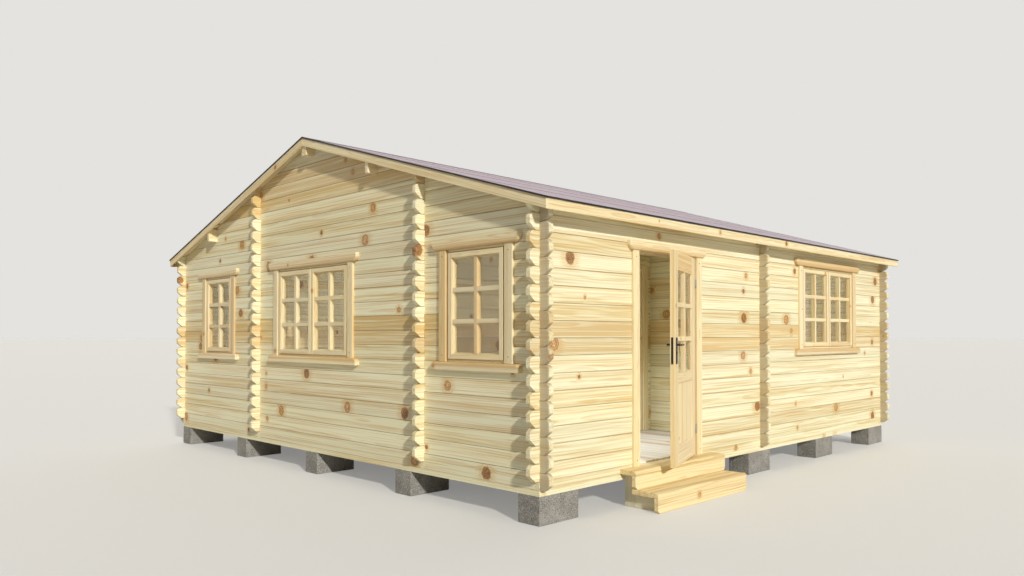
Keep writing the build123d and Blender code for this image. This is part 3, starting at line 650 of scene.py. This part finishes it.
def roofing():
    """Maroon roofing sheet with fine mineral grains and faint weather marks."""
    made, tree, shader = new_material("maroon_roofing")
    place = put(tree, "TexCoord", {})["Object"]
    cloud = put(tree, "TexNoise", {"Vector": place, "Scale": 1.6, "Detail": 5.0})[0]
    grain = put(tree, "TexNoise", {"Vector": place, "Scale": 320.0, "Detail": 2.0})[0]
    color = blend_colors(tree, ease(tree, cloud, 0.3, 0.7), *roofing_colors)
    color = blend_colors(tree, ease(tree, grain, 0.5, 0.75, 0.0, 0.5), color, roofing_grain_color)
    tree.links.new(color, shader.inputs["Base Color"])
    bump = put(tree, "Bump", {"Strength": 0.3, "Distance": 0.0015, "Height": grain})[0]
    tree.links.new(bump, shader.inputs["Normal"])
    tree.links.new(sum_of(tree, times(tree, cloud, 0.2), 0.28), shader.inputs["Roughness"])
    shader.inputs["Sheen Weight"].default_value = roofing_sheen
    shader.inputs["Sheen Roughness"].default_value = roofing_sheen_roughness
    shader.inputs["Sheen Tint"].default_value = roofing_sheen_color
    return made


def roofing_shade_edge():
    """Black bent edge strip of the roofing, painted shade along the roofing's edges, a little scuffed."""
    made, tree, shader = new_material("roofing_edge_painted_shade")
    place = put(tree, "TexCoord", {})["Object"]
    scuff = put(tree, "TexNoise", {"Vector": place, "Scale": 9.0, "Detail": 6.0})[0]
    color = blend_colors(tree, ease(tree, scuff, 0.45, 0.75), *roofing_shade_blacks)
    tree.links.new(color, shader.inputs["Base Color"])
    tree.links.new(sum_of(tree, times(tree, scuff, 0.3), 0.4), shader.inputs["Roughness"])
    return made


def metal(name, color, metallic, roughness, grain_scale):
    """Metal with fine streaks in its gloss."""
    made, tree, shader = new_material(name)
    place = put(tree, "TexCoord", {})["Object"]
    drawn = put(tree, "VectorMath", {0: place, 1: grain_scale}, operation="MULTIPLY")[0]
    streak = put(tree, "TexNoise", {"Vector": drawn, "Scale": 1.0, "Detail": 3.0})[0]
    bright = [channel * worn_share for channel in color]
    worn = blend_colors(tree, ease(tree, streak, 0.35, 0.75, 0.0, 0.35), (*color, 1.0), (*bright, 1.0))
    tree.links.new(worn, shader.inputs["Base Color"])
    tree.links.new(sum_of(tree, times(tree, streak, 0.2), roughness - 0.1), shader.inputs["Roughness"])
    bump = put(tree, "Bump", {"Strength": 0.08, "Distance": 0.0004, "Height": streak})[0]
    tree.links.new(bump, shader.inputs["Normal"])
    shader.inputs["Metallic"].default_value = metallic
    return made


def pane_glass():
    """Clear window glass with a faint waviness."""
    made, tree, shader = new_material("pane_glass")
    place = put(tree, "TexCoord", {})["Object"]
    wave = put(tree, "TexNoise", {"Vector": place, "Scale": 2.2, "Detail": 1.0})[0]
    bump = put(tree, "Bump", {"Strength": 0.03, "Distance": 0.004, "Height": wave})[0]
    tree.links.new(bump, shader.inputs["Normal"])
    tint = blend_colors(tree, wave, *glass_colors)
    tree.links.new(tint, shader.inputs["Base Color"])
    shader.inputs["Roughness"].default_value = 0.02
    shader.inputs["IOR"].default_value = glass_index
    shader.inputs["Transmission Weight"].default_value = 1.0
    shader.inputs["Alpha"].default_value = glass_cover
    return made


log_colors = (0.915, 0.885, 0.64), (0.705, 0.52, 0.247)
pine_logs = wood("pine_logs", *log_colors, 0.045, 0.36, log_ring, log_groove)
# Same wood with painted shade on the log tips
pine_logs_tip_shade = wood("pine_logs_tip_shade", *log_colors, 0.045, 0.36, log_ring, log_groove, shaded_tips=log_tips)
pine_joinery = wood("pine_joinery", (0.92, 0.82, 0.55), (0.74, 0.54, 0.27), 0.016, 0.3)
trim_colors = (0.90, 0.81, 0.56), (0.72, 0.50, 0.23)
# The head trims' darker lower half is painted shade under the rounded nose
pine_head_trim = wood("pine_head_trim", *trim_colors, 0.012, 0.2, nose=-1)
pine_sill = wood("pine_sill", *trim_colors, 0.012, 0.2, nose=1)
pine_roof = wood("pine_roof", (0.93, 0.83, 0.56), (0.72, 0.52, 0.25), 0.022, 0.5)
pine_floor = wood("pine_floor", (0.95, 0.92, 0.85), (0.62, 0.47, 0.34), 0.014, 0.3, log_ring)
pine_steps = wood("pine_steps", (0.90, 0.755, 0.45), (0.60, 0.41, 0.18), 0.026, 0.6, log_ring)
pine_stringers = wood("pine_stringers", (0.84, 0.80, 0.63), (0.68, 0.60, 0.40), 0.012, 0.2)
pine_door = wood("pine_door", (0.92, 0.80, 0.53), (0.73, 0.51, 0.24), 0.014, 0.25)
cast_concrete = concrete()
maroon_roofing = roofing()
roofing_shade_black = roofing_shade_edge()
black_metal = metal("black_metal", (0.016, 0.016, 0.017), 0.3, 0.42, (60.0, 60.0, 60.0))
hinge_steel = metal("hinge_steel", (0.40, 0.385, 0.36), 1.0, 0.46, (40.0, 40.0, 400.0))
nail_steel = metal("nail_steel", (0.10, 0.06, 0.04), 0.7, 0.5, (90.0, 90.0, 90.0))
clear_glass = pane_glass()


def finish_piece(piece, material, body, slot, *replaced):
    """Give a piece its material and its body, and hide the nodes that it stands for; the slot is not used."""
    piece.data.materials.clear()
    piece.data.materials.append(material)
    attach(piece, body)
    if replaced:
        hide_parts(*replaced)
    return piece


# Wood nodes that keep their shape and get rounded edges and a grain of their own
def dress(node, material, edge, body="house", slot=None, turn=None, banded=False):
    """A wooden node's copy with softened edges and grain along each board."""
    piece = soften(copy_node(node, node + "_wood"), edge)
    lay_grain(piece, turn, sum(map(ord, node)), banded)
    return finish_piece(piece, material, body, slot, node)


for wall in ("front_wall_left", "front_wall_right", "front_wall_over_door", "back_wall", "hall_wall", "bedroom_wall"):
    dress(wall, pine_logs, log_edge, slot="pine_logs", banded=True)
# Gable and cross walls: their log tips carry painted shade
for wall in ("left_gable_wall", "right_gable_wall", "cross_wall"):
    dress(wall, pine_logs_tip_shade, log_edge, slot="pine_logs", banded=True)
for timber in ("sill_beams", "floor_joists"):
    dress(timber, pine_logs, plank_edge, slot="sill_timber")
for timber in ("ridge_purlin", "roof_purlins", "front_fascia", "back_fascia"):
    dress(timber, pine_roof, plank_edge, slot="roof_timber")
for joinery in (
    "window_frames", "window_sashes", "window_casings", "door_frame", "door_threshold", "door_casing",
    "inner_door_linings", "inner_door_casings",
):
    dress(joinery, pine_joinery, joinery_edge, slot="pine_joinery")
dress("step_stringers", pine_stringers, step_edge, slot="step_timber")


# Steps: the lower one's right end is rounded off at its top and its foot
def round_step(node, seed):
    """A copy of the treads or risers with the rounded corner on its lower board."""
    piece = copy_node(node, node + "_wood")
    low, high = min(solid_boxes(node), key=lambda corners: corners[0].z)
    corner_z = high.z if node == "step_treads" else low.z
    corner = Vector((high.x, 0.0, corner_z))
    aside = Vector((1, 0, 1))
    select_edges(piece, lambda *ends: all(((end - corner) * aside).length < near_enough for end in ends))
    bpy.ops.mesh.bevel(offset=step_corner, segments=corner_steps, affect="EDGES")
    close_edit()
    soften(piece, step_edge)
    lay_grain(piece, None, seed)
    return finish_piece(piece, pine_steps, "house", "step_timber", node)


round_step("step_treads", 11)
round_step("step_risers", 18)


# Barge boards: their grain follows the slope
def down_slope(points):
    """Points with each slope of the roof laid level."""
    level = points.copy()
    level[:, 2] += np.abs(points[:, 1]) * slope_rise
    return level


for barge in ("left_barge_boards", "right_barge_boards"):
    dress(barge, pine_roof, plank_edge, slot="roof_timber", turn=down_slope)

# Foundation blocks
blocks = soften(copy_node("foundation_blocks", "foundation_blocks_cast"), block_edge)
finish_piece(blocks, cast_concrete, "house", "concrete", "foundation_blocks")


# Trims over and under the windows: thick boards with a rounded nose
def round_nose(node, nose_up, material):
    """A trim node's copy with its front face rounded off along its nose."""
    piece = copy_node(node, node + "_rounded")
    edit(piece, "DESELECT")
    close_edit()
    mesh = piece.data
    label = solids_of(piece)
    points = corners_of(piece)
    levels = {index: points[label == index][:, 2] for index in range(label.max() + 1)}
    edge_numbers = {key: index for index, key in enumerate(mesh.edge_keys)}
    for face in mesh.polygons:
        middle, normal = face.center, face.normal
        on_gable = abs(normal.x) > 0.9 and middle.x * normal.x > half_length
        on_eaves = abs(normal.y) > 0.9 and middle.y * normal.y > half_width
        if not (on_gable or on_eaves):
            continue
        heights = levels[label[face.vertices[0]]]
        square_side = heights.min() if nose_up else heights.max()
        for key in face.edge_keys:
            ends = [mesh.vertices[end].co.z for end in key]
            if not all(abs(end - square_side) < near_enough for end in ends):
                mesh.edges[edge_numbers[key]].select = True
    activate(piece)
    bpy.ops.object.mode_set(mode="EDIT")
    bpy.ops.mesh.select_mode(type="EDGE")
    bpy.ops.mesh.bevel(offset=trim_edge, segments=corner_steps, affect="EDGES", clamp_overlap=True)
    close_edit()
    soften(piece, joinery_edge)
    lay_grain(piece, None, sum(map(ord, node)))
    return finish_piece(piece, material, "house", "pine_joinery", node)


round_nose("window_head_trims", False, pine_head_trim)
round_nose("door_head_trim", False, pine_head_trim)
round_nose("window_sills", True, pine_sill)


def side_by_side(start, end, count):
    """Sides of boards that share a width evenly, with a gap between them."""
    step = (end - start) / count
    sides = [start + index * step for index in range(count)]
    return [(side + board_gap / 2, side + step - board_gap / 2) for side in sides]


# Bars and beads of the windows and the door, on both sides of each pane
def glazing(panes, columns, rows, proud=0.0):
    """Boxes of the bars across each pane and of the beads about it."""
    bars = []
    for low, high in panes:
        wide = 0 if high.x - low.x > high.y - low.y else 1
        thin = 1 - wide
        middle = (low[thin] + high[thin]) / 2
        out = proud if middle > 0 else -proud
        spans = [None, None, (low.z, high.z)]
        for index in range(1, columns):
            place = low[wide] + (high[wide] - low[wide]) * index / columns
            spans[wide] = (place - bar_width / 2, place + bar_width / 2)
            spans[thin] = (middle - bar_depth / 2 + min(out, 0), middle + bar_depth / 2 + max(out, 0))
            bars.append(tuple(zip(*spans)))
        for index in range(1, rows):
            place = low.z + (high.z - low.z) * index / rows
            spans[wide] = (low[wide], high[wide])
            spans[thin] = (middle - 0.48 * bar_depth + min(out, 0), middle + 0.48 * bar_depth + max(out, 0))
            spans[2] = (place - bar_width / 2, place + bar_width / 2)
            bars.append(tuple(zip(*spans)))
        glass = (high[thin] - low[thin]) / 2
        for side in (-1, 1):
            spans[thin] = tuple(sorted((middle + side * glass, middle + side * (glass + bead_depth))))
            for edge, inward in ((low, 1), (high, -1)):
                spans[wide] = tuple(sorted((edge[wide], edge[wide] + inward * bead_width)))
                spans[2] = (low.z, high.z)
                bars.append(tuple(zip(*spans)))
                spans[wide] = (low[wide], high[wide])
                spans[2] = tuple(sorted((edge.z, edge.z + inward * bead_width)))
                bars.append(tuple(zip(*spans)))
    return bars


def mouldings(panes):
    """Boxes of the raised moulding on the outer face of each sash."""
    strips = []
    inner, outer = moulding_inset, moulding_inset + moulding_width
    for low, high in panes:
        wide = 0 if high.x - low.x > high.y - low.y else 1
        thin = 1 - wide
        face = (low[thin] + high[thin]) / 2
        out = 1 if face > 0 else -1
        face += out * sash_face
        spans = [None, None, None]
        spans[thin] = tuple(sorted((face, face + out * moulding_depth)))
        for edge, outward in ((low, -1), (high, 1)):
            spans[wide] = tuple(sorted((edge[wide] + outward * inner, edge[wide] + outward * outer)))
            spans[2] = (low.z - outer, high.z + outer)
            strips.append(tuple(zip(*spans)))
            spans[wide] = (low[wide] - inner, high[wide] + inner)
            spans[2] = tuple(sorted((edge.z + outward * inner, edge.z + outward * outer)))
            strips.append(tuple(zip(*spans)))
    return strips


sash_mouldings = boards("sash_mouldings", mouldings(solid_boxes("window_glass")), joinery_edge)
lay_grain(sash_mouldings, None, 4)
finish_piece(sash_mouldings, pine_joinery, "house", "pine_joinery")
window_bars = boards("window_bars", glazing(solid_boxes("window_glass"), 2, 3, bar_proud), joinery_edge)
lay_grain(window_bars, None, 5)
finish_piece(window_bars, pine_joinery, "house", "pine_joinery")
door_bars = boards("door_bars", glazing(solid_boxes("door_glass", door_turn), 2, 3), joinery_edge)
lay_grain(door_bars, None, 6)
turn_mesh(door_bars, door_turn)
finish_piece(door_bars, pine_door, "door", "door_pine")

# Door leaf with its lower panel of upright boards
leaf_back = np.array(door_turn.inverted())


def closed(points):
    """Points of the door leaf as they lie when it is closed."""
    return points @ leaf_back[:3, :3].T + leaf_back[:3, 3]


dress("door_leaf_frame", pine_door, joinery_edge, "door", "door_pine", closed)
panel_low, panel_high = solid_boxes("door_panel", door_turn)[0]
panel_boxes = [
    ((left, panel_low.y, panel_low.z), (right, panel_high.y, panel_high.z))
    for left, right in side_by_side(panel_low.x, panel_high.x, panel_boards)
]
door_panel = boards("door_panel_boards", panel_boxes, joinery_edge)
lay_grain(door_panel, None, 7)
turn_mesh(door_panel, door_turn)
finish_piece(door_panel, pine_door, "door", "door_pine", "door_panel")

# Floor boards along the rooms
floor_boxes = []
for low, high in solid_boxes("floor_boards"):
    for left, right in side_by_side(low.x, high.x, round((high.x - low.x) / floor_board_width)):
        floor_boxes.append(((left, low.y, low.z), (right, high.y, high.z)))
floor = boards("floor_planks", floor_boxes, plank_edge)
lay_grain(floor, None, 8)
finish_piece(floor, pine_floor, "house", "floor_boards", "floor_boards")


# Roof: layers are made level, with the ridge along X, and then laid on their slope
def roof_layer(node, side):
    """Corners of a roof layer, its run down the slope, its thickness and the turn onto its slope."""
    low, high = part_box(node)
    run = high.y - low.y
    thick = (high.z - low.z - run * slope_rise) * cos(slope_angle)
    ridge_y = -side * abs(high.y if side > 0 else low.y)
    ridge = Matrix.Translation((0.0, ridge_y, high.z - thick / cos(slope_angle)))
    half_turn = Matrix.Rotation(0.0 if side > 0 else pi, 4, "Z")
    return low, high, run / cos(slope_angle), thick, ridge @ half_turn @ Matrix.Rotation(slope_angle, 4, "X")


# Roof boards down each slope, seen from below at the eaves and inside
for side, node in ((1, "roof_deck_front"), (-1, "roof_deck_back")):
    low, high, slope_run, thick, onto_slope = roof_layer(node, side)
    columns = side_by_side(low.x, high.x, round((high.x - low.x) / roof_board_width))
    roof_boxes = [((left, -slope_run, 0.0), (right, 0.0, thick)) for left, right in columns]
    deck = boards(node + "_boards", roof_boxes, plank_edge)
    lay_grain(deck, None, 9 + side)
    turn_mesh(deck, onto_slope)
    finish_piece(deck, pine_roof, "house", "roof_timber", node)

# Roofing: each slope's strips lap downwards, between black edge strips that are painted shade, with a cap over the
# ridge
for side, node in ((1, "roof_covering_front"), (-1, "roof_covering_back")):
    low, high, slope_run, thick, onto_slope = roof_layer(node, side)
    width = slope_run / strip_count
    strips = []
    for index in range(strip_count):
        foot = -slope_run + index * width
        strips.append(((low.x, foot, 0.0), (high.x, min(foot + width + strip_lap, 0.0), strip_thickness)))
    sheet = boards("strips", strips, strip_edge)
    points = corners_of(sheet)
    label = solids_of(sheet)
    for index in range(strip_count):
        mine = points[label == index]
        down = (mine[:, 1].max() - mine[:, 1]) / np.ptp(mine[:, 1])
        points[label == index, 2] += strip_lift * down
    sheet.data.vertices.foreach_set("co", points.astype(np.float32).ravel())
    cap = boards("cap", [((low.x, -cap_width, thick), (high.x, cap_lap, thick + cap_thickness))], cap_edge)
    sheet = join(node + "_strips", [sheet, cap])
    foot, under, over = -slope_run - edge_foot_reach, -edge_foot_reach, thick + edge_rise
    edges = boards(
        node + "_edges",
        [
            ((low.x - edge_side_reach, foot, under), (low.x + roofing_edge, 0.0, over)),
            ((high.x - roofing_edge, foot, under), (high.x + edge_side_reach, 0.0, over)),
            ((low.x, foot, under), (high.x, -slope_run + roofing_edge, over)),
        ],
        cap_edge,
    )
    turn_mesh(sheet, onto_slope)
    finish_piece(sheet, maroon_roofing, "house", "roof_covering", node)
    turn_mesh(edges, onto_slope)
    finish_piece(edges, roofing_shade_black, "house", "roof_covering")

# Nails through the casings
nail_heads = []
for node in ("window_casings", "door_casing"):
    for low, high in solid_boxes(node):
        middle = (low + high) / 2
        on_gable = high.x - low.x < high.y - low.y
        out = Vector((np.sign(middle.x), 0, 0)) if on_gable else Vector((0, np.sign(middle.y), 0))
        face = max(low.dot(out), high.dot(out))
        for height in (low.z + nail_inset, high.z - nail_inset):
            place = Vector((middle.x, middle.y, height))
            place += out * (face - place.dot(out))
            nail_heads.append(round_head(place, out, nail_radius, nail_rise, nail_recess))
nails = join("casing_nails", nail_heads)
finish_piece(nails, nail_steel, "house", "hinge_steel")

# Handle, made as on the closed door
spindle = next(joint for joint in frame["joints"] if joint["name"] == "handle_turn")["pos_m"]
spindle = door_turn.inverted() @ Vector(spindle)
lever_low, lever_high = solid_boxes("door_levers", door_turn)[0]
plates, levers = [], []
for low, high in solid_boxes("handle_plates", door_turn):
    outer = low.y < spindle.y and high.y < (lever_low.y + lever_high.y) / 2
    out = Vector((0, -1, 0)) if outer else Vector((0, 1, 0))
    face = low.y if outer else high.y
    bpy.ops.object.select_all(action="DESELECT")
    bpy.ops.mesh.primitive_cube_add(size=1, location=(low + high) / 2, scale=high - low)
    plate = bpy.context.active_object
    bpy.ops.object.transform_apply(location=True, rotation=True, scale=True)
    select_edges(plate, lambda first, second: abs(first.y - second.y) > near_enough)
    bpy.ops.mesh.bevel(offset=plate_corner, segments=6, affect="EDGES")
    close_edit()
    soften(plate, plate_edge)
    plates.append(plate)
    middle = (low + high) / 2
    plates.append(round_head(Vector((spindle.x, face, spindle.z)), out, rose_radius, rose_thickness, rose_recess))
    key_place = Vector((spindle.x, face, spindle.z - key_drop))
    plates.append(round_head(key_place, out, key_radius, rose_thickness, key_recess))
    for height in (low.z + screw_inset, high.z - screw_inset):
        screw_place = Vector((middle.x, face, height))
        plates.append(round_head(screw_place, out, screw_radius, screw_rise, screw_recess))

    # Lever: a neck out of the plate, an elbow and a grip towards the hinges
    reach = lever_low.y if outer else lever_high.y
    grip = reach - out.y * lever_radius
    elbow = grip - out.y * lever_bend
    bpy.ops.object.select_all(action="DESELECT")
    bpy.ops.mesh.primitive_cylinder_add(
        vertices=lever_sides,
        radius=lever_radius,
        depth=abs(elbow - face),
        location=(spindle.x, (elbow + face) / 2, spindle.z),
        rotation=(radians(90), 0, 0),
    )
    lever = bpy.context.active_object
    bpy.ops.object.transform_apply(location=True, rotation=True, scale=True)
    select_face(lever, out)
    bend = -radians(90) if outer else radians(90)
    bend_center = (spindle.x + lever_bend, elbow, spindle.z)
    bpy.ops.mesh.spin(steps=lever_elbow_steps, angle=bend, center=bend_center, axis=(0, 0, 1))
    run = lever_high.x - spindle.x - lever_bend
    for share, scale in lever_grip:
        bpy.ops.mesh.extrude_region_move(TRANSFORM_OT_translate={"value": (run * share, 0, 0)})
        bpy.ops.transform.resize(value=scale)
    bpy.ops.mesh.select_all(action="SELECT")
    bpy.ops.mesh.remove_doubles(threshold=0.00001)
    bpy.ops.mesh.normals_make_consistent(inside=False)
    close_edit()
    levers.append(soften(lever, lever_edge))
handle_plates = turn_mesh(join("handle_plates_black", plates), door_turn)
finish_piece(handle_plates, black_metal, "door", "black_metal", "handle_plates")
lever_pair = turn_mesh(join("door_levers_bent", levers), door_turn)
finish_piece(lever_pair, black_metal, "handle", "black_metal", "door_levers")

# Lock plate on the leaf's edge, with its latch
lock_low, lock_high = solid_boxes("lock_plate", door_turn)[0]
latch_box = (
    (lock_low.x - latch_reach, lock_low.y + latch_inset, spindle.z - latch_half_height),
    (lock_low.x, lock_high.y - latch_inset, spindle.z + latch_half_height),
)
bolt_box = (
    (lock_low.x - bolt_reach, lock_low.y + bolt_inset, spindle.z - bolt_drop[0]),
    (lock_low.x, lock_high.y - bolt_inset, spindle.z - bolt_drop[1]),
)
lock = boards("lock_plate_edge", [(lock_low, lock_high), latch_box, bolt_box], lock_edge)
turn_mesh(lock, door_turn)
finish_piece(lock, black_metal, "door", "black_metal", "lock_plate")

# CAD nodes that keep their own shape
for node, material in (
    ("window_glass", clear_glass), ("door_glass", clear_glass),
    ("jamb_hinges", hinge_steel), ("leaf_hinges", hinge_steel),
):
    nodes[node].data.materials.clear()
    nodes[node].data.materials.append(material)


# Studio floor, light and camera
def seen_directly(tree):
    """One for a ray from the camera, or one that gloss or glass sends on, and nothing for light."""
    rays = tree.nodes.new("ShaderNodeLightPath").outputs
    seen = sum_of(tree, rays["Is Camera Ray"], rays["Is Glossy Ray"])
    return put(tree, "Clamp", {0: sum_of(tree, seen, rays["Is Transmission Ray"])})[0]


bpy.ops.object.select_all(action="DESELECT")
bpy.ops.mesh.primitive_plane_add(size=2 * floor_reach, location=(0.0, 0.0, -0.001))
studio_floor = bpy.context.active_object
studio_floor.name = "studio_floor"
floor_paint, floor_tree, floor_shader = new_material("studio_floor_paint")
floor_shader.inputs["Base Color"].default_value = floor_color
floor_shader.inputs["Roughness"].default_value = 0.9
glow = times(floor_tree, seen_directly(floor_tree), floor_glow)
floor_shader.inputs["Emission Color"].default_value = floor_color
floor_tree.links.new(glow, floor_shader.inputs["Emission Strength"])
studio_floor.data.materials.append(floor_paint)

world = bpy.data.worlds.new("studio_light")
bpy.context.scene.world = world
world.use_nodes = True
sky = world.node_tree
background = sky.nodes["Background"]
shown = sky.nodes.new("ShaderNodeBackground")
shown.inputs["Color"].default_value = sky_shown
background.inputs["Color"].default_value = sky_color
background.inputs["Strength"].default_value = sky_light
chooser = sky.nodes.new("ShaderNodeMixShader")
sky.links.new(seen_directly(sky), chooser.inputs[0])
sky.links.new(background.outputs[0], chooser.inputs[1])
sky.links.new(shown.outputs[0], chooser.inputs[2])
sky.links.new(chooser.outputs[0], sky.nodes["World Output"].inputs["Surface"])

# A low sun from the front and a wide soft fill from behind
for turn, strength, softness, color in (
    (sun_turn, sun_strength, sun_softness, sun_color),
    (fill_turn, fill_strength, fill_softness, fill_color),
):
    bpy.ops.object.light_add(type="SUN", rotation=[radians(angle) for angle in turn])
    sun = bpy.context.active_object
    sun.data.energy = strength
    sun.data.angle = radians(softness)
    sun.data.color = color

# A soft lamp over the floor of each room, so that the rooms show through the panes
for low, high in solid_boxes("floor_boards"):
    middle = (low + high) / 2
    bpy.ops.object.light_add(type="AREA", location=(middle.x, middle.y, high.z + room_lamp_rise))
    lamp = bpy.context.active_object
    lamp.data.energy = room_lamp_power * (high.x - low.x) * (high.y - low.y)
    lamp.data.shape = "RECTANGLE"
    lamp.data.size = room_lamp_share * (high.x - low.x)
    lamp.data.size_y = room_lamp_share * (high.y - low.y)
    lamp.data.color = room_lamp_color
    lamp.visible_camera = lamp.visible_glossy = lamp.visible_transmission = False

bpy.ops.object.camera_add(location=camera_place, rotation=[radians(angle) for angle in camera_turn])
camera = bpy.context.active_object
camera.data.lens = camera_lens
camera.data.sensor_width = camera_sensor
camera.data.shift_y = camera_rise_share
camera.data.clip_end = 4 * floor_reach
bpy.context.scene.camera = camera
bpy.context.scene.view_settings.view_transform = "Standard"
